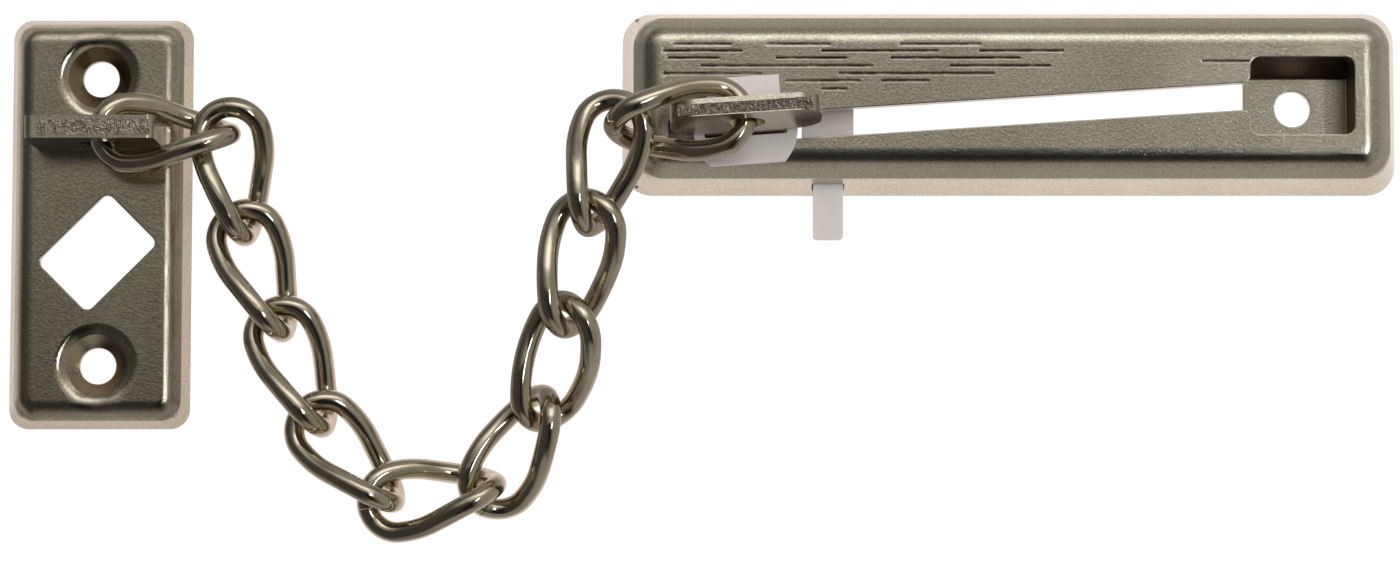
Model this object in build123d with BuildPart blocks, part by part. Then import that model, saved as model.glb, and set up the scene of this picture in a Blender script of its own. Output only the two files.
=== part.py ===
from build123d import *
import math
import os

# Track housing, lying on its open back
track_length = 120
track_width = 28.5
track_height = 11
wall_draft = 13
shoulder_height = 3.2
shoulder_draft = 38
wall_thickness = 2
face_thickness = 2.2
track_corner = 4.8
track_round = 3.4
floor_thickness = 1.5

# Slanted slot and the pocket the slider drops into, placed from the ends of the housing
slot_angle = 3.7
slot_offset = -2.4
slot_width = 4.2
slot_margin = 7.3
mouth_round = 1.2
pocket_margin = 15.6
pocket_length = 16
pocket_width = 12
pocket_corner = 1.5
pocket_wall = 1.6
pocket_lean = 2.2

# Screw holes
screw_hole = 5.6
screw_margin = 16
pocket_screw_y = -0.9
driver_hole = 8.4
left_floor_length = 24

# Engraved dashes: height on the face, left end from the housing's left end, length
dash_width = 0.35
dash_depth = 0.25
dashes = (
    (8, 8, 9), (8, 22.1, 10), (8, 42.7, 12.5),
    (6.9, 6.4, 12.1), (6.9, 30.6, 18), (6.9, 54.8, 13),
    (5.8, 7, 8), (5.8, 23.6, 11), (5.8, 41.2, 20),
    (4.6, 12, 26.5), (4.6, 50.3, 15.5),
    (3.4, 6.4, 15.1), (3.4, 33.2, 24),
    (2.3, 25.1, 11.5), (2.3, 39.7, 7.5),
    (1, 30.6, 4), (5.3, 89, 7.3),
)

# Slider: key plate, foot behind the face, glide washer on the face
slider_margin = 19
key_thickness = 2.7
key_lean = 8
key_length = 23
key_top = 14.2
key_shoulder = 3.7
key_corner = 4
key_edge_corner = 0.8
key_hole = 5.8
key_hole_rise = 8.5
neck_length = 12
foot_length = 13
foot_width = 8
foot_thickness = 2.6
foot_clearance = 0.5
foot_corner = 1.5
peen_height = 0.4
washer_radius = 8
washer_thickness = 1.4
washer_flat = 5.6
washer_back_width = 11.2
washer_back_reach = 7.8
washer_step = 3
washer_clearance = 0.3

# Latch slide in the back of the housing
latch_margin = 31.8
latch_width = 8
latch_thickness = 1.6
latch_level = 2.4
latch_inner_end = 5
latch_fit = 0.15
tab_width = 4.6
tab_thickness = 2.8
tab_reach = 7.2
tab_corner = 0.6
tooth_depth = 1.4
tooth_height = 3.3
latch_travel = 5
guide_wall = 1.8
guide_start = 1.8

# Chain link: twisted oval of round wire with a butt seam
wire = 3.2
link_length = 23.2
link_width = 13
half_twist = 45
strand_slope = 30
bend_length = 4.4
link_play = 0.9
seam_gap = 0.15

# Lie of the chain from slider to anchor: heading, slope, roll of each link
link_lie = {
    11: (185, 0, -28),
    10: (255, 3, -30),
    9: (258, -12, -18),
    8: (255, -26, -4),
    7: (238, -17, 18),
    6: (190, -0.5, 32),
    5: (134, 0, 34),
    4: (113, 0, 34),
    3: (111, 2, 36),
    2: (98, 12, 36),
    1: (180, 6, 36),
}
hanging_links = (10, 9, 8)

# Anchor plate and its lug
anchor_width = 28
anchor_length = 63.8
anchor_height = 5
anchor_draft = 20
anchor_shoulder = 2
anchor_sheet = 1.3
anchor_corner = 3.4
anchor_round = 2.2
anchor_screw_margin = 9.6
dish_radius = 5.9
dish_depth = 0.66
dish_round = 2.2
seat_radius = 4.75
dimple_depth = 2.4
window_length = 15.2
window_width = 11.1
window_corner = 1.2
window_turn = 45
window_margin = 11.5
lug_length = 19.7
lug_thickness = 3.5
lug_rise = 14
lug_corner = 1.2
lug_hole = 5.8
lug_shift = -0.7
lug_side = 0.97
lug_clearance = 1.75
tenon_length = 13


def slot_y(x):
    return slot_offset + x * math.tan(math.radians(slot_angle))


def direction(heading, slope=0):
    flat = math.cos(math.radians(slope))
    return Vector(
        flat * math.cos(math.radians(heading)),
        flat * math.sin(math.radians(heading)),
        math.sin(math.radians(slope)),
    )


def draft_inset(height, draft):
    return height * math.tan(math.radians(draft))


def rises(edge):
    return abs(edge.tangent_at(0.5).Z) > 0.5


def shoulder_run(height, draft):
    return draft_inset(height, shoulder_draft) - draft_inset(height, draft)


def wall_run(height, draft):
    return height / math.cos(math.radians(draft))


# Places along the track, from its ends
track_end = track_length / 2
slot_start = slot_margin - track_end
pocket_centre = track_end - pocket_margin
screw_x = track_end - screw_margin
slider_x = slider_margin - track_end
latch_x = latch_margin - track_end

# Shared planes and levels
up = Vector(0, 0, 1)
face_inside = track_height - face_thickness
slot_left_end = Vector(slot_start, slot_y(slot_start))
slot_right_end = Vector(pocket_centre, slot_y(pocket_centre))
slot_line = direction(slot_angle)
key_tilt = math.radians(key_lean)
lean_up = up * math.cos(key_tilt) + up.cross(slot_line) * math.sin(key_tilt)
slot_plane = Plane((slider_x, slot_y(slider_x), 0), x_dir=slot_line, z_dir=(0, 0, 1))
key_plane = Plane(
    (slider_x, slot_y(slider_x), face_inside + face_thickness / 2),
    x_dir=slot_line,
    z_dir=slot_line.cross(lean_up),
)
left_screw = (-screw_x, slot_y(-screw_x))
right_screw = (screw_x, pocket_screw_y)
foot_top = face_inside - foot_clearance

# Latch notch and guide sizes follow the latch
notch_width = tab_width + 2 * latch_fit
guide_bore_width = latch_width + 2 * latch_fit
guide_bore_height = latch_thickness + 2 * latch_fit
guide_end = track_width / 2 - draft_inset(face_inside, wall_draft) - wall_thickness / 2
guide_bore_end = latch_inner_end + latch_travel + latch_fit
latch_top = latch_level + latch_thickness
wall_at_latch = track_width / 2 - draft_inset(latch_top, wall_draft)
latch_shoulder = wall_at_latch - wall_thickness - latch_fit

# Track housing: drafted shell with a sloping, rounded shoulder
with BuildPart() as housing:
    with BuildSketch():
        Rectangle(track_length, track_width)
    extrude(amount=track_height, taper=wall_draft)
    fillet(housing.edges().filter_by(rises), track_corner)
    face = housing.faces().sort_by(Axis.Z)[-1]
    chamfer(
        face.outer_wire().edges(),
        shoulder_run(shoulder_height, wall_draft),
        wall_run(shoulder_height, wall_draft),
        reference=face,
    )
    fillet(housing.faces().sort_by(Axis.Z)[-1].outer_wire().edges(), track_round)
    with BuildSketch():
        Rectangle(track_length - 2 * wall_thickness, track_width - 2 * wall_thickness)
    extrude(amount=face_inside, taper=wall_draft, mode=Mode.SUBTRACT)
    # Pocket walls and both floors
    with BuildSketch():
        with Locations((pocket_centre + pocket_wall / 2, 0)):
            Rectangle(pocket_length + pocket_wall, pocket_width + 2 * pocket_wall)
    extrude(amount=face_inside)
    floor_middle = (left_floor_length - track_length) / 2 + wall_thickness / 2
    with Locations((floor_middle, 0, 0)):
        Box(
            left_floor_length - wall_thickness,
            track_width - wall_thickness,
            floor_thickness,
            align=(Align.CENTER, Align.CENTER, Align.MIN),
        )
    # Latch guide on the upper wall
    with Locations((latch_x, guide_start, latch_level - guide_wall)):
        Box(
            guide_bore_width + 2 * guide_wall,
            guide_end - guide_start,
            face_inside - latch_level + guide_wall,
            align=(Align.CENTER, Align.MIN, Align.MIN),
        )
    with Locations((latch_x, guide_start, latch_level - latch_fit)):
        Box(
            guide_bore_width,
            guide_bore_end - guide_start,
            guide_bore_height,
            align=(Align.CENTER, Align.MIN, Align.MIN),
            mode=Mode.SUBTRACT,
        )
    # Notch for the latch tab
    with Locations((latch_x, -track_width / 2, latch_level - latch_fit)):
        Box(
            notch_width,
            track_width / 2,
            tab_thickness + 2 * latch_fit,
            align=(Align.CENTER, Align.CENTER, Align.MIN),
            mode=Mode.SUBTRACT,
        )
    # Slot, pocket and screw holes
    with BuildSketch(Plane.XY.offset(floor_thickness)) as openings:
        with Locations((pocket_centre, 0)):
            RectangleRounded(pocket_length, pocket_width, pocket_corner)
        slot_middle = (slot_left_end + slot_right_end) / 2
        with Locations(Location((slot_middle.X, slot_middle.Y, 0), (0, 0, slot_angle))):
            Rectangle((slot_right_end - slot_left_end).length, slot_width)
        pocket_left = pocket_centre - pocket_length / 2
        beside_slot = openings.vertices().filter_by_position(Axis.Y, -slot_width, slot_width)
        mouth = beside_slot.filter_by_position(Axis.X, pocket_left - mouth_round, pocket_left + mouth_round)
        fillet(mouth, mouth_round)
        with Locations(left_screw):
            Circle(driver_hole / 2)
    extrude(amount=track_height, mode=Mode.SUBTRACT)
    with BuildSketch():
        with Locations(left_screw, right_screw):
            Circle(screw_hole / 2)
    extrude(amount=floor_thickness, mode=Mode.SUBTRACT)
    # Leaning far wall of the pocket
    with BuildSketch(Plane.YZ.offset(pocket_left)):
        with BuildLine():
            Polyline(
                (pocket_width / 2, floor_thickness),
                (pocket_width / 2 - pocket_lean, floor_thickness),
                (pocket_width / 2, face_inside),
                close=True,
            )
        make_face()
    extrude(amount=pocket_length)
    # Engraved dashes
    with BuildSketch(Plane.XY.offset(track_height)):
        for dash_y, dash_start, dash_length in dashes:
            with Locations((dash_start + dash_length / 2 - track_end, dash_y)):
                SlotOverall(dash_length, dash_width)
    extrude(amount=-dash_depth, mode=Mode.SUBTRACT)

# Latch slide: plate, tab and locking tooth
with BuildPart() as latch:
    with BuildSketch(Plane.XY.offset(latch_level)):
        with Locations((latch_x, (latch_inner_end - latch_shoulder) / 2)):
            Rectangle(latch_width, latch_inner_end + latch_shoulder)
    extrude(amount=latch_thickness)
    with BuildSketch(Plane.XY.offset(latch_level)) as tab:
        tab_end = track_width / 2 + tab_reach
        with Locations((latch_x, -(latch_shoulder + tab_end) / 2)):
            Rectangle(tab_width, tab_end - latch_shoulder)
        fillet(tab.vertices().group_by(Axis.Y)[0], tab_corner)
    extrude(amount=tab_thickness)
    tooth_top = latch_top + tooth_height
    tooth_wall = track_width / 2 - draft_inset(tooth_top, wall_draft) - wall_thickness - latch_fit
    with Locations((latch_x, -tooth_wall, latch_top)):
        Box(latch_width, tooth_depth, tooth_height, align=(Align.CENTER, Align.MIN, Align.MIN))

# Slider key plate, leaning in the slot
foot_bottom_rise = -(face_thickness / 2 + foot_clearance + foot_thickness) / math.cos(key_tilt)
with BuildPart() as key:
    with BuildSketch(key_plane) as head:
        with Locations((0, (key_shoulder + key_top) / 2)):
            Rectangle(key_length, key_top - key_shoulder)
        fillet(head.vertices().group_by(Axis.Z)[0], key_corner)
        fillet(head.vertices().group_by(Axis.Z)[-1], key_edge_corner)
        neck_bottom = foot_bottom_rise - peen_height
        with Locations((0, (neck_bottom + key_shoulder) / 2)):
            Rectangle(neck_length, key_shoulder - neck_bottom)
        with Locations((0, key_hole_rise)):
            Circle(key_hole / 2, mode=Mode.SUBTRACT)
    extrude(amount=key_thickness / 2, both=True)

# Slider foot, riveted on the key plate's neck
with BuildPart() as foot:
    with BuildSketch(slot_plane.offset(foot_top - foot_thickness)):
        RectangleRounded(foot_length, foot_width, foot_corner)
    extrude(amount=foot_thickness)
    add(key.part, mode=Mode.SUBTRACT)

# Glide washer: square behind the key, round with one flat before it
with BuildPart() as washer:
    with BuildSketch(slot_plane.offset(track_height)):
        Circle(washer_radius)
        behind_key = (Align.CENTER, Align.MIN)
        with Locations((0, washer_step)):
            Rectangle(2 * washer_radius, washer_radius, align=behind_key, mode=Mode.SUBTRACT)
        Rectangle(washer_back_width, washer_back_reach, align=behind_key)
        with Locations((0, -washer_flat)):
            Rectangle(2 * washer_radius, washer_radius, align=(Align.CENTER, Align.MAX), mode=Mode.SUBTRACT)
    extrude(amount=washer_thickness)
    with BuildSketch(key_plane):
        Rectangle(neck_length + 2 * washer_clearance, 2 * key_shoulder)
    extrude(amount=key_thickness / 2 + washer_clearance, both=True, mode=Mode.SUBTRACT)

# One chain link about its own centre, the long way along X
half_length = (link_length - wire) / 2
half_width = (link_width - wire) / 2
pin_step = wire + link_play
end_point = Vector(half_length, 0, 0)
end_tangent = direction(90, -half_twist)
side_point = Vector(0, half_width, 0)
side_tangent = direction(180, strand_slope)
reach = side_point - end_point
side_reach = (reach.dot(reach) - 2 * bend_length * reach.dot(end_tangent)) / (
    2 * (reach.dot(side_tangent) + bend_length * (1 - end_tangent.dot(side_tangent)))
)
end_handle = end_point + end_tangent * bend_length
side_handle = side_point - side_tangent * side_reach
share = bend_length / (bend_length + side_reach)
join_point = end_handle + (side_handle - end_handle) * share
join_tangent = (side_handle - end_handle).normalized()
far_join = Vector(-join_point.X, join_point.Y, -join_point.Z)
far_tangent = Vector(join_tangent.X, -join_tangent.Y, join_tangent.Z)

with BuildPart() as link:
    with BuildLine() as strand:
        TangentArc(end_point, join_point, tangent=end_tangent)
        TangentArc(join_point, side_point, tangent=join_tangent)
        TangentArc(side_point, far_join, tangent=side_tangent)
        TangentArc(far_join, -end_point, tangent=far_tangent)
    with BuildSketch(Plane(end_point, z_dir=end_tangent)):
        Circle(wire / 2)
    sweep(path=strand.line)
    add(link.part.rotate(Axis.X, 180))
    with BuildSketch(Plane(end_point, z_dir=end_tangent)):
        Circle(wire)
    extrude(amount=seam_gap / 2, both=True, mode=Mode.SUBTRACT)

# Chain, laid out link by link from the key hole
chain = {}
pivots = {}
key_end = key_plane.from_local_coords(Vector(0, key_hole_rise, 0))
pivots[11] = key_end
for number, (heading, slope, roll) in link_lie.items():
    along = direction(heading, slope)
    across = up.cross(direction(heading))
    upright = along.cross(across)
    normal = upright * math.cos(math.radians(roll)) - across * math.sin(math.radians(roll))
    if number in hanging_links:
        pivots[number] = anchor_end
        key_end = anchor_end - along * pin_step
    elif chain:
        key_end = anchor_end - last_along * pin_step
        pivots[number] = key_end
    link_plane = Plane(key_end + along * half_length, x_dir=along, z_dir=normal)
    chain[number] = link.part.moved(link_plane.location)
    anchor_end = key_end + along * 2 * half_length
    last_along = along

# Anchor lug, standing in a slot in the anchor plate
lug_plane = Plane((anchor_end.X, anchor_end.Y, anchor_height), x_dir=(1, 0, 0), z_dir=(0, -1, 0))
with BuildPart() as lug:
    with BuildSketch(lug_plane) as lug_face:
        with Locations((lug_shift, lug_rise / 2)):
            Rectangle(lug_length, lug_rise)
        fillet(lug_face.vertices().group_by(Axis.Z)[-1], lug_corner)
        with Locations((0, anchor_end.Z - anchor_height)):
            Circle(lug_hole / 2, mode=Mode.SUBTRACT)
        with Locations((lug_shift, -(anchor_sheet + peen_height) / 2)):
            Rectangle(tenon_length, anchor_sheet + peen_height)
    extrude(amount=lug_thickness / 2, both=True)

# Anchor plate: pressed shell with dimpled screw holes and a turned window
anchor_screw_spacing = anchor_length - 2 * anchor_screw_margin
dish_edge = anchor_screw_spacing / 2 - dish_radius
lug_up = dish_edge - lug_clearance - lug_thickness / 2
anchor_plane = Plane((anchor_end.X - lug_side, anchor_end.Y - lug_up, 0))
with BuildPart() as anchor:
    with BuildSketch(anchor_plane):
        Rectangle(anchor_width, anchor_length)
    extrude(amount=anchor_height, taper=anchor_draft)
    fillet(anchor.edges().filter_by(rises), anchor_corner)
    face = anchor.faces().sort_by(Axis.Z)[-1]
    chamfer(
        face.outer_wire().edges(),
        shoulder_run(anchor_shoulder, anchor_draft),
        wall_run(anchor_shoulder, anchor_draft),
        reference=face,
    )
    fillet(anchor.faces().sort_by(Axis.Z)[-1].outer_wire().edges(), anchor_round)
    with BuildSketch(anchor_plane):
        RectangleRounded(
            anchor_width - 2 * anchor_sheet,
            anchor_length - 2 * anchor_sheet,
            anchor_corner - anchor_sheet,
        )
    extrude(amount=anchor_height - anchor_sheet, taper=anchor_draft, mode=Mode.SUBTRACT)
    with BuildSketch(anchor_plane):
        with Locations((0, window_margin - dish_edge)):
            RectangleRounded(window_length, window_width, window_corner, rotation=window_turn)
    extrude(amount=anchor_height, mode=Mode.SUBTRACT)
    dimple_floor = anchor_height - dimple_depth
    with Locations(anchor_plane.offset(dimple_floor - anchor_sheet)):
        with GridLocations(0, anchor_screw_spacing, 1, 2):
            Cone(
                screw_hole / 2 + anchor_sheet,
                dish_radius + anchor_sheet,
                dimple_depth,
                align=(Align.CENTER, Align.CENTER, Align.MIN),
            )
    with Locations(anchor_plane.offset(dimple_floor)):
        with GridLocations(0, anchor_screw_spacing, 1, 2):
            Cone(
                screw_hole / 2,
                seat_radius,
                dimple_depth - dish_depth,
                align=(Align.CENTER, Align.CENTER, Align.MIN),
                mode=Mode.SUBTRACT,
            )
            Cylinder(screw_hole / 2, 2 * anchor_height, mode=Mode.SUBTRACT)
    with Locations(anchor_plane.offset(anchor_height - dish_depth)):
        with GridLocations(0, anchor_screw_spacing, 1, 2):
            Cone(
                seat_radius,
                dish_radius,
                dish_depth,
                align=(Align.CENTER, Align.CENTER, Align.MIN),
                mode=Mode.SUBTRACT,
            )
    rims = anchor.faces().sort_by(Axis.Z)[-1].edges().filter_by(GeomType.CIRCLE)
    fillet(rims.group_by(SortBy.RADIUS)[-1], dish_round)
    add(lug.part, mode=Mode.SUBTRACT)

pieces = {
    "track_housing": housing.part,
    "latch_slide": latch.part,
    "slider_plate": key.part,
    "slider_foot": foot.part,
    "glide_washer": washer.part,
    "anchor_plate": anchor.part,
    "anchor_lug": lug.part,
}
for number, shape in chain.items():
    pieces[f"link_{number:02d}"] = shape

# Every piece is written about the middle of the track's screw holes
frame_origin = Vector(0, (left_screw[1] + right_screw[1]) / 2, 0)
os.makedirs("parts", exist_ok=True)
for name, shape in pieces.items():
    placed = shape.moved(Location(-frame_origin))
    placed.label = name
    export_step(placed, f"parts/{name}.step")
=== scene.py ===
import math

import bpy
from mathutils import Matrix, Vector


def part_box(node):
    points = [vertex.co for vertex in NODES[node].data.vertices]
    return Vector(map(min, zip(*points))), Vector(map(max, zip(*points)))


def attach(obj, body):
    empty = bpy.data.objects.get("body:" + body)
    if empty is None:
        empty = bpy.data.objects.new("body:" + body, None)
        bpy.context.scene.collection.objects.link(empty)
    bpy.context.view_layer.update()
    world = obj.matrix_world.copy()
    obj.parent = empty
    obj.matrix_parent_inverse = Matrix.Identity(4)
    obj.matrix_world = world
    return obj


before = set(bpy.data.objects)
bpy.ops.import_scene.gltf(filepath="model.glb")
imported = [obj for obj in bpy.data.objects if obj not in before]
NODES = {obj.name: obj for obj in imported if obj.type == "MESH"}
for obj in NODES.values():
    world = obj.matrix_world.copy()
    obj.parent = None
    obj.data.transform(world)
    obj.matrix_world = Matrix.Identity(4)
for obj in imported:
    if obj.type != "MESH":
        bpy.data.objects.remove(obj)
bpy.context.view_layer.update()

LINKS = ["link_%02d" % number for number in range(1, 12)]
MM = 0.001

# Camera, as the photograph was taken: nearly straight down, tipped a little towards the near edge
CAMERA_DISTANCE = 700 * MM
CAMERA_TIP = math.radians(5.3)
CAMERA_LENS = 116.1
CAMERA_SENSOR = 36
CAMERA_AIM = (-47.95 * MM, -24.53 * MM)

# In every finish: tones have a place on the ramp, clouds and grain a scale, detail and roughness of noise,
# and bumps a depth and strength

# Satin nickel: tones, clouds, tumbled grain, the share of both in its speckle, and change of polish
NICKEL_TONES = ((0.2, (0.42, 0.40, 0.345)), (0.8, (0.72, 0.69, 0.60)))
NICKEL_CLOUD = (70, 4)
NICKEL_GRAIN = (2700, 3, 0.7)
NICKEL_BUMP = (0.03 * MM, 0.9)
CLOUD_SHARE = (0, 0.5)
GRAIN_SHARE = (-0.3, 0.8)
POLISH_CHANGE = 0.07

# Tint and polish of the cast housing, the pressed anchor and the sheared plates
CAST_TINT = (1, 0.985, 0.95)
CAST_POLISH = 0.14
PRESSED_TINT = (0.8, 0.765, 0.71)
PRESSED_POLISH = 0.1
SHEARED_TINT = (1, 0.975, 0.93)
SHEARED_POLISH = 0.16

# Worn shoulders: where each crease and each flat face begin, in from the outline, and the worn radius
CAST_SHOULDER = (1.9 * MM, 5.6 * MM, 1.9 * MM)
PRESSED_SHOULDER = (1.2 * MM, 3.6 * MM, 2.2 * MM)
SHOULDER_RISE = 0.6 * MM
SHOULDER_FALL = 1.6 * MM
WORN_EDGE = 0.25 * MM
WORN_SAMPLES = 8

# Entry pocket of the housing: dark brown painted shade inside, and dull
POCKET_LOW = (36.2 * MM, -3.2 * MM, 1.7 * MM)
POCKET_HIGH = (52.6 * MM, 9.4 * MM, 10.6 * MM)
POCKET_PAINTED_SHADE = (0.13, 0.095, 0.06)
POCKET_DULLNESS = 0.55

# Engraved dashes of the housing, darkened unevenly with painted shade in their grooves
DASHES_LOW = (-54 * MM, 3.7 * MM, 10.6 * MM)
DASHES_HIGH = (37.5 * MM, 11.3 * MM, 10.97 * MM)
DASHES_PAINTED_SHADE = (0.12, 0.10, 0.08)
DASHES_CLOUD = (500, 2)
DASHES_UNEVEN = (0.35, 1, 0.35, 0.6)

# Seats of the anchor's screw holes, brown with painted shade, the upper seat darker than the lower
SEATS_WITH_PAINTED_SHADE = (
    (-140.78 * MM, 6.72 * MM, (0.30, 0.24, 0.16)),
    (-140.78 * MM, -37.88 * MM, (0.48, 0.41, 0.31)),
)
SEAT_REACH = 4.9 * MM
SEAT_TOP = 4.4 * MM

# Bright wire of the links
WIRE_TONES = ((0.3, (0.48, 0.425, 0.33)), (0.7, (0.60, 0.535, 0.42)))
WIRE_CLOUD = (220, 3)
WIRE_BUMP = (0.06 * MM, 0.35)
WIRE_POLISH = (0.11, 0.19)

# White plastic of the washer and the latch
PLASTIC_TONES = ((0.3, (0.72, 0.675, 0.655)), (0.7, (0.78, 0.735, 0.71)))
PLASTIC_CLOUD = (120, 3)
PLASTIC_GRAIN = (900, 4)
PLASTIC_BUMP = (0.02 * MM, 0.4)
PLASTIC_ROUGHNESS = 0.42
PLASTIC_GLOW = 0.25
PLASTIC_GLOW_REACH = (1.5 * MM, 1.4 * MM, 1.3 * MM)

# Torn strips on the sheared edges of the key plate and the lug
SLOT_ANGLE = math.radians(3.7)
KEY_LEAN = math.radians(8)
KEY_EDGE = (-41.2 * MM, -0.3 * MM, 24.12 * MM)
KEY_STRIP = (20.4 * MM, 1.7 * MM)
KEY_TEAR = 0.1 * MM
LUG_EDGE = (-139.8 * MM, -2.8 * MM, 19.06 * MM)
LUG_STRIP = (17 * MM, 2.4 * MM)
LUG_TEAR = 0.05 * MM
TORN_STEP = 0.15 * MM
TORN_SEED = 3
TORN_BREAK = 2
TORN_BREAK_SEED = 5
TORN_ROOT = 3
TORN_TONES = ((0.34, (0.19, 0.165, 0.13)), (0.66, (0.53, 0.49, 0.41)))
TORN_GRIT = (1400, 4, 0.7)
TORN_ROUGHNESS = (0.3, 0.45)

# Floor: plain and pale to the eye, with a painted reflection in the metal: dimmer the further off it is
# mirrored, dimmer towards the left, and pink
FLOOR_SIZE = 6
FLOOR_DROP = 0.1 * MM
FLOOR_TONE = (0.25, 0.25, 0.25, 1)
FLOOR_ROUGHNESS = 0.9
FLOOR_GLOW = 0.93
FLOOR_NEAR_GLOW = 0.83
FLOOR_FAR_GLOW = (0.06, 0.22)
FLOOR_FAR_PLACES = (-85 * MM, -62 * MM)
FLOOR_MIRRORED = (8 * MM, 22 * MM)
FLOOR_WHITE = (1, 1, 1)
FLOOR_REFLECTION_PINK = (1, 0.875, 0.825)

# Room: the part of green and blue in its warm and pale greys, its strength and the backdrop
ROOM_GREEN = 0.975
WARM_BLUE = 0.87
PALE_BLUE = 0.95
ROOM_STRENGTH = 2.5
BACKDROP_TONE = (0.95, 0.945, 0.94, 1)

# Lamps: place, aim, size and power
SIDE_STRIP = ((1.13, -0.21, 3), (-0.13, -0.02, 0), (0.9, 0.2), 12)
SOFT_FILL = ((0.1, 0.2, 1.2), (-0.05, 0, 0), (1.2, 0.8), 7)

# Places of the sockets of a Mix node, which share their names
MIX_FACTOR = 0
MIX_NUMBERS = (2, 3)
MIX_NUMBER_RESULT = 0
MIX_COLOURS = (6, 7)
MIX_COLOUR_RESULT = 2


def feed(tree, node, name, value):
    """Link an input to another node's output, or set it to a number or colour."""
    if isinstance(value, bpy.types.NodeSocket):
        tree.links.new(value, node.inputs[name])
    else:
        node.inputs[name].default_value = value


def new_material(name):
    material = bpy.data.materials.new(name)
    material.use_nodes = True
    tree = material.node_tree
    return material, tree, tree.nodes["Principled BSDF"]


def object_coordinates(tree):
    return tree.nodes.new("ShaderNodeTexCoord").outputs["Object"]


def noise(tree, vector, scale, detail, roughness=0.55):
    texture = tree.nodes.new("ShaderNodeTexNoise")
    feed(tree, texture, "Vector", vector)
    feed(tree, texture, "Scale", scale)
    feed(tree, texture, "Detail", detail)
    feed(tree, texture, "Roughness", roughness)
    return texture.outputs["Fac"]


def ramp(tree, factor, *stops):
    node = tree.nodes.new("ShaderNodeValToRGB")
    elements = node.color_ramp.elements
    while len(elements) < len(stops):
        elements.new(0.5)
    for element, (position, colour) in zip(elements, stops):
        element.position = position
        element.color = (*colour, 1)
    feed(tree, node, "Fac", factor)
    return node.outputs["Color"]


def spread(tree, factor, low, high, start=0, end=1):
    """Stretch start to end over low to high."""
    node = tree.nodes.new("ShaderNodeMapRange")
    feed(tree, node, "Value", factor)
    feed(tree, node, "From Min", start)
    feed(tree, node, "From Max", end)
    feed(tree, node, "To Min", low)
    feed(tree, node, "To Max", high)
    return node.outputs["Result"]


def blend(tree, factor, first, second):
    node = tree.nodes.new("ShaderNodeMix")
    node.data_type = "RGBA"
    feed(tree, node, MIX_FACTOR, factor)
    for place, colour in zip(MIX_COLOURS, (first, second)):
        feed(tree, node, place, colour)
    return node.outputs[MIX_COLOUR_RESULT]


def bump(tree, height, distance, strength, normal=None):
    node = tree.nodes.new("ShaderNodeBump")
    feed(tree, node, "Height", height)
    feed(tree, node, "Distance", distance)
    feed(tree, node, "Strength", strength)
    if normal:
        feed(tree, node, "Normal", normal)
    return node.outputs["Normal"]


def combine(tree, operation, first, second):
    node = tree.nodes.new("ShaderNodeMath")
    node.operation = operation
    for place, value in enumerate((first, second)):
        feed(tree, node, place, value)
    return node.outputs["Value"]


def split_place(tree, place):
    node = tree.nodes.new("ShaderNodeSeparateXYZ")
    feed(tree, node, "Vector", place)
    return node.outputs["X"], node.outputs["Y"], node.outputs["Z"]


def away_from(tree, coordinate, middle):
    offset = combine(tree, "SUBTRACT", coordinate, middle)
    return combine(tree, "ABSOLUTE", offset, 0)


def border_distance(tree, place, node_name):
    """Distance in plan from the outline of a plate, inwards."""
    inwards = []
    for coordinate, low, high in zip(split_place(tree, place)[:2], *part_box(node_name)):
        from_middle = away_from(tree, coordinate, (low + high) / 2)
        inwards.append(combine(tree, "SUBTRACT", (high - low) / 2, from_middle))
    return combine(tree, "MINIMUM", *inwards)


def inside_box(tree, place, low, high):
    """One inside a box in the part's frame, nothing outside it."""
    mask = None
    for coordinate, least, most in zip(split_place(tree, place), low, high):
        from_middle = away_from(tree, coordinate, (least + most) / 2)
        within = combine(tree, "LESS_THAN", from_middle, (most - least) / 2)
        mask = within if mask is None else combine(tree, "MULTIPLY", mask, within)
    return mask


# Paints a shade colour over the tone inside the mask
def paint_shade(tree, tone, mask, colour):
    return blend(tree, mask, tone, (*colour, 1))


def tinted(colour, tint):
    return tuple(level * part for level, part in zip(colour, tint))


def worn_shoulder(tree, place, node_name, crease, face_edge, radius):
    """Normal of a shoulder rounded from its crease to the flat face, and of worn sharp edges."""
    border = border_distance(tree, place, node_name)
    rise = spread(tree, border, 0, 1, crease, crease + SHOULDER_RISE)
    fall = spread(tree, border, 1, 0, face_edge, face_edge + SHOULDER_FALL)
    broad = combine(tree, "MULTIPLY", combine(tree, "MULTIPLY", rise, fall), radius)
    bevel = tree.nodes.new("ShaderNodeBevel")
    bevel.samples = WORN_SAMPLES
    feed(tree, bevel, "Radius", combine(tree, "MAXIMUM", broad, WORN_EDGE))
    return bevel.outputs["Normal"]


def nickel_base(tree, place, tint, polish, normal=None):
    """Satin nickel: clouded tone, uneven polish and a tumbled grain."""
    cloud = noise(tree, place, *NICKEL_CLOUD)
    grain = noise(tree, place, *NICKEL_GRAIN)
    speckle = combine(tree, "ADD", spread(tree, cloud, *CLOUD_SHARE), spread(tree, grain, *GRAIN_SHARE))
    tone = ramp(tree, speckle, *((position, tinted(colour, tint)) for position, colour in NICKEL_TONES))
    roughness = spread(tree, cloud, polish, polish + POLISH_CHANGE)
    return tone, roughness, bump(tree, grain, *NICKEL_BUMP, normal)


def finish_metal(tree, shader, tone, roughness, normal=None):
    feed(tree, shader, "Metallic", 1)
    feed(tree, shader, "Base Color", tone)
    feed(tree, shader, "Roughness", roughness)
    if normal:
        feed(tree, shader, "Normal", normal)


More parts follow.
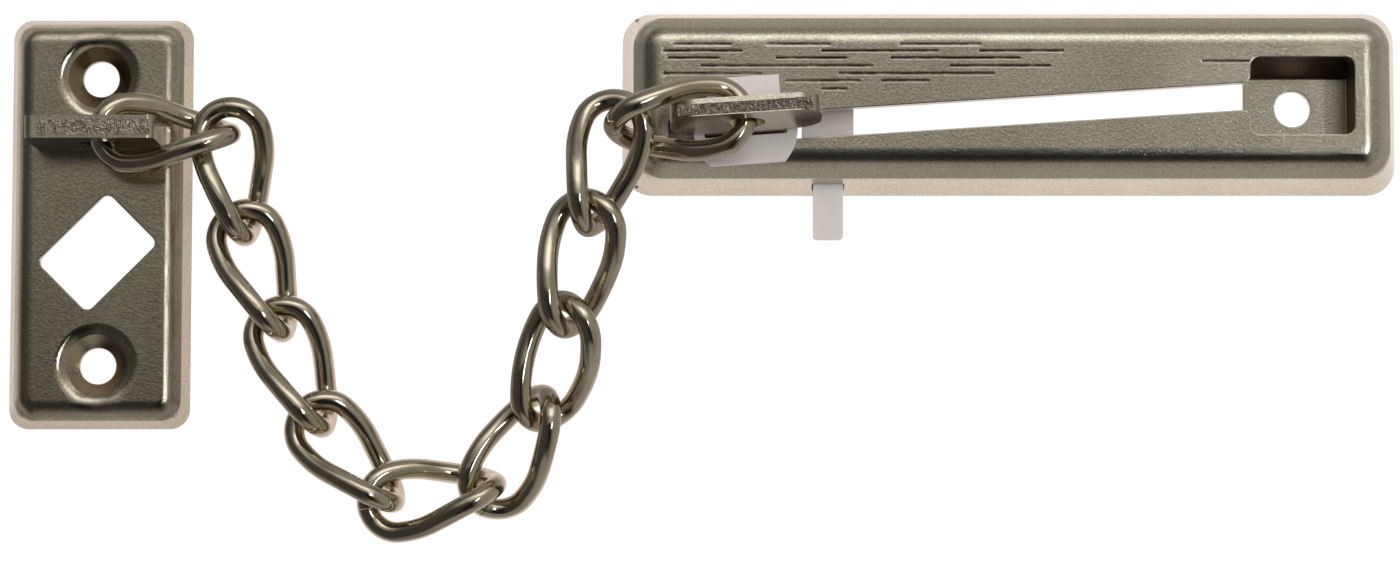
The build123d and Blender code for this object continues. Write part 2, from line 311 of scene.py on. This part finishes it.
def cast_nickel():
    material, tree, shader = new_material("cast_nickel")
    place = object_coordinates(tree)
    shoulder = worn_shoulder(tree, place, "track_housing", *CAST_SHOULDER)
    tone, roughness, grain = nickel_base(tree, place, CAST_TINT, CAST_POLISH, shoulder)
    # Painted shade: the inside of the entry pocket is darkened to brown, and made dull
    pocket = inside_box(tree, place, POCKET_LOW, POCKET_HIGH)
    tone = paint_shade(tree, tone, pocket, POCKET_PAINTED_SHADE)
    roughness = combine(tree, "MAXIMUM", roughness, combine(tree, "MULTIPLY", pocket, POCKET_DULLNESS))
    # Painted shade: the engraved dashes are darkened unevenly
    dashes = inside_box(tree, place, DASHES_LOW, DASHES_HIGH)
    uneven = spread(tree, noise(tree, place, *DASHES_CLOUD), *DASHES_UNEVEN)
    tone = paint_shade(tree, tone, combine(tree, "MULTIPLY", dashes, uneven), DASHES_PAINTED_SHADE)
    finish_metal(tree, shader, tone, roughness, grain)
    return material


def pressed_nickel():
    material, tree, shader = new_material("pressed_nickel")
    place = object_coordinates(tree)
    shoulder = worn_shoulder(tree, place, "anchor_plate", *PRESSED_SHOULDER)
    tone, roughness, grain = nickel_base(tree, place, PRESSED_TINT, PRESSED_POLISH, shoulder)
    # Painted shade in the seats of the screw holes
    for across, along, colour in SEATS_WITH_PAINTED_SHADE:
        low = (across - SEAT_REACH, along - SEAT_REACH, 0)
        high = (across + SEAT_REACH, along + SEAT_REACH, SEAT_TOP)
        tone = paint_shade(tree, tone, inside_box(tree, place, low, high), colour)
    finish_metal(tree, shader, tone, roughness, grain)
    return material


def sheared_nickel():
    material, tree, shader = new_material("sheared_nickel")
    place = object_coordinates(tree)
    tone, roughness, grain = nickel_base(tree, place, SHEARED_TINT, SHEARED_POLISH)
    finish_metal(tree, shader, tone, roughness, grain)
    return material


def torn_metal():
    material, tree, shader = new_material("torn_metal")
    grit = noise(tree, object_coordinates(tree), *TORN_GRIT)
    tone = ramp(tree, grit, *TORN_TONES)
    finish_metal(tree, shader, tone, spread(tree, grit, *TORN_ROUGHNESS))
    return material


def bright_nickel():
    material, tree, shader = new_material("bright_nickel")
    cloud = noise(tree, object_coordinates(tree), *WIRE_CLOUD)
    tone = ramp(tree, cloud, *WIRE_TONES)
    wave = bump(tree, cloud, *WIRE_BUMP)
    finish_metal(tree, shader, tone, spread(tree, cloud, *WIRE_POLISH), wave)
    return material


def white_plastic():
    material, tree, shader = new_material("white_plastic")
    place = object_coordinates(tree)
    cloud = noise(tree, place, *PLASTIC_CLOUD)
    grain = noise(tree, place, *PLASTIC_GRAIN)
    feed(tree, shader, "Base Color", ramp(tree, cloud, *PLASTIC_TONES))
    feed(tree, shader, "Normal", bump(tree, grain, *PLASTIC_BUMP))
    feed(tree, shader, "Roughness", PLASTIC_ROUGHNESS)
    feed(tree, shader, "Subsurface Weight", PLASTIC_GLOW)
    feed(tree, shader, "Subsurface Radius", PLASTIC_GLOW_REACH)
    feed(tree, shader, "Subsurface Scale", 1)
    return material


def wear(names, material):
    for name in names:
        mesh = NODES[name].data
        mesh.materials.clear()
        mesh.materials.append(material)


def torn_edge(name, middle, size, depth, turn, body, material):
    """A strip of torn, granular metal on the sheared edge of a plate."""
    length, width = size
    bpy.ops.object.select_all(action="DESELECT")
    bpy.ops.mesh.primitive_grid_add(
        x_subdivisions=round(length / TORN_STEP),
        y_subdivisions=round(width / TORN_STEP),
        size=1,
    )
    strip = bpy.context.object
    strip.name = name
    strip.scale = (length, width, 1)
    bpy.ops.object.transform_apply(location=False, rotation=False, scale=True)
    bpy.ops.object.mode_set(mode="EDIT")
    bpy.ops.mesh.select_all(action="SELECT")
    bpy.ops.transform.vertex_random(offset=depth, normal=1, seed=TORN_SEED)
    bpy.ops.mesh.subdivide(
        number_cuts=1,
        fractal=TORN_BREAK,
        fractal_along_normal=1,
        seed=TORN_BREAK_SEED,
    )
    bpy.ops.mesh.extrude_region_move(TRANSFORM_OT_translate={"value": (0, 0, -TORN_ROOT * depth)})
    bpy.ops.mesh.select_all(action="SELECT")
    bpy.ops.mesh.normals_make_consistent(inside=False)
    bpy.ops.object.mode_set(mode="OBJECT")
    strip.location = middle
    strip.rotation_euler = turn
    bpy.ops.object.transform_apply(location=True, rotation=True, scale=False)
    strip.data.materials.append(material)
    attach(strip, body)


def pale_floor():
    material, tree, shader = new_material("pale_floor")
    # Camera rays see an even white glow; glossy rays see a painted reflection, dimmer with ray length and
    # towards the left, and pink
    rays = tree.nodes.new("ShaderNodeLightPath")
    mirrored = rays.outputs["Is Glossy Ray"]
    across = split_place(tree, object_coordinates(tree))[0]
    far_glow = spread(tree, across, *FLOOR_FAR_GLOW, *FLOOR_FAR_PLACES)
    painted_reflection_glow = spread(tree, rays.outputs["Ray Length"], FLOOR_NEAR_GLOW, far_glow, *FLOOR_MIRRORED)
    glow = tree.nodes.new("ShaderNodeMix")
    feed(tree, glow, MIX_FACTOR, mirrored)
    for place, level in zip(MIX_NUMBERS, (FLOOR_GLOW, painted_reflection_glow)):
        feed(tree, glow, place, level)
    feed(tree, shader, "Emission Strength", glow.outputs[MIX_NUMBER_RESULT])
    feed(tree, shader, "Emission Color", ramp(tree, mirrored, (0, FLOOR_WHITE), (1, FLOOR_REFLECTION_PINK)))
    feed(tree, shader, "Base Color", FLOOR_TONE)
    feed(tree, shader, "Roughness", FLOOR_ROUGHNESS)
    feed(tree, shader, "Specular IOR Level", 0)
    return material


def add_floor():
    bpy.ops.object.select_all(action="DESELECT")
    bpy.ops.mesh.primitive_plane_add(size=FLOOR_SIZE, location=(0, 0, -FLOOR_DROP))
    floor = bpy.context.object
    floor.name = "floor"
    floor.data.materials.append(pale_floor())


def grey(level, blue=WARM_BLUE):
    return (level, level * ROOM_GREEN, level * blue)


def add_world():
    """A dim room with a bright window high at the back, and a pale backdrop for the camera."""
    world = bpy.data.worlds.new("studio")
    world.use_nodes = True
    tree = world.node_tree
    room = tree.nodes["Background"]
    coordinates = tree.nodes.new("ShaderNodeTexCoord")
    across, along = split_place(tree, coordinates.outputs["Generated"])[:2]
    width = spread(tree, across, 0, 1, -1, 1)
    depth = spread(tree, along, 0, 1, -1, 1)
    front_to_back = ramp(
        tree, depth,
        (0.00, grey(0.15)), (0.045, grey(0.13)),
        (0.08, grey(0.015)), (0.25, grey(0.004)), (0.52, grey(0.002)),
        (0.54, grey(0.045)), (0.56, grey(0.215)), (0.68, grey(0.24)),
        (0.73, grey(0.8, PALE_BLUE)), (0.84, grey(0.7, PALE_BLUE)),
        (0.88, grey(0.17)), (1.00, grey(0.12)),
    )
    left_to_right = ramp(
        tree, width,
        (0.00, grey(0.03)), (0.35, grey(0.03)), (0.50, grey(0.12)), (0.70, grey(0.15)), (1.00, grey(0.14)),
    )
    sideways = ramp(
        tree, width,
        (0.15, grey(1)), (0.38, grey(0.5)), (0.435, grey(0.25)),
        (0.49, grey(0)), (0.66, grey(0)), (0.85, grey(1)),
    )
    feed(tree, room, "Color", blend(tree, sideways, front_to_back, left_to_right))
    feed(tree, room, "Strength", ROOM_STRENGTH)
    backdrop = tree.nodes.new("ShaderNodeBackground")
    feed(tree, backdrop, "Color", BACKDROP_TONE)
    rays = tree.nodes.new("ShaderNodeLightPath")
    choose = tree.nodes.new("ShaderNodeMixShader")
    feed(tree, choose, "Fac", rays.outputs["Is Camera Ray"])
    feed(tree, choose, 1, room.outputs["Background"])
    feed(tree, choose, 2, backdrop.outputs["Background"])
    feed(tree, tree.nodes["World Output"], "Surface", choose.outputs["Shader"])
    bpy.context.scene.world = world


def add_area(name, place, aim, size, power, shines):
    """A lamp that the camera doesn't see, and that the metal mirrors only if it shines."""
    bpy.ops.object.light_add(type="AREA", location=place)
    lamp = bpy.context.object
    lamp.name = name
    lamp.data.shape = "RECTANGLE"
    lamp.data.size, lamp.data.size_y = size
    lamp.data.energy = power
    lamp.visible_camera = False
    lamp.visible_glossy = shines
    direction = Vector(aim) - Vector(place)
    lamp.rotation_euler = direction.to_track_quat("-Z", "Y").to_euler()


def add_lights():
    add_area("side_strip", *SIDE_STRIP, shines=True)
    add_area("soft_fill", *SOFT_FILL, shines=False)
    bpy.context.scene.view_settings.view_transform = "Standard"


def add_camera():
    aim_x, aim_y = CAMERA_AIM
    bpy.ops.object.camera_add(
        location=(
            aim_x,
            aim_y - CAMERA_DISTANCE * math.sin(CAMERA_TIP),
            CAMERA_DISTANCE * math.cos(CAMERA_TIP),
        ),
        rotation=(CAMERA_TIP, 0, 0),
    )
    camera = bpy.context.object
    camera.data.sensor_width = CAMERA_SENSOR
    camera.data.lens = CAMERA_LENS
    bpy.context.scene.camera = camera


wear(["track_housing"], cast_nickel())
wear(["anchor_plate"], pressed_nickel())
wear(["anchor_lug", "slider_plate", "slider_foot"], sheared_nickel())
wear(LINKS, bright_nickel())
wear(["glide_washer", "latch_slide"], white_plastic())
torn = torn_metal()
torn_edge("torn_key_edge", KEY_EDGE, KEY_STRIP, KEY_TEAR, (-KEY_LEAN, 0, SLOT_ANGLE), "slider", torn)
torn_edge("torn_lug_edge", LUG_EDGE, LUG_STRIP, LUG_TEAR, (0, 0, 0), "anchor", torn)
add_floor()
add_world()
add_lights()
add_camera()
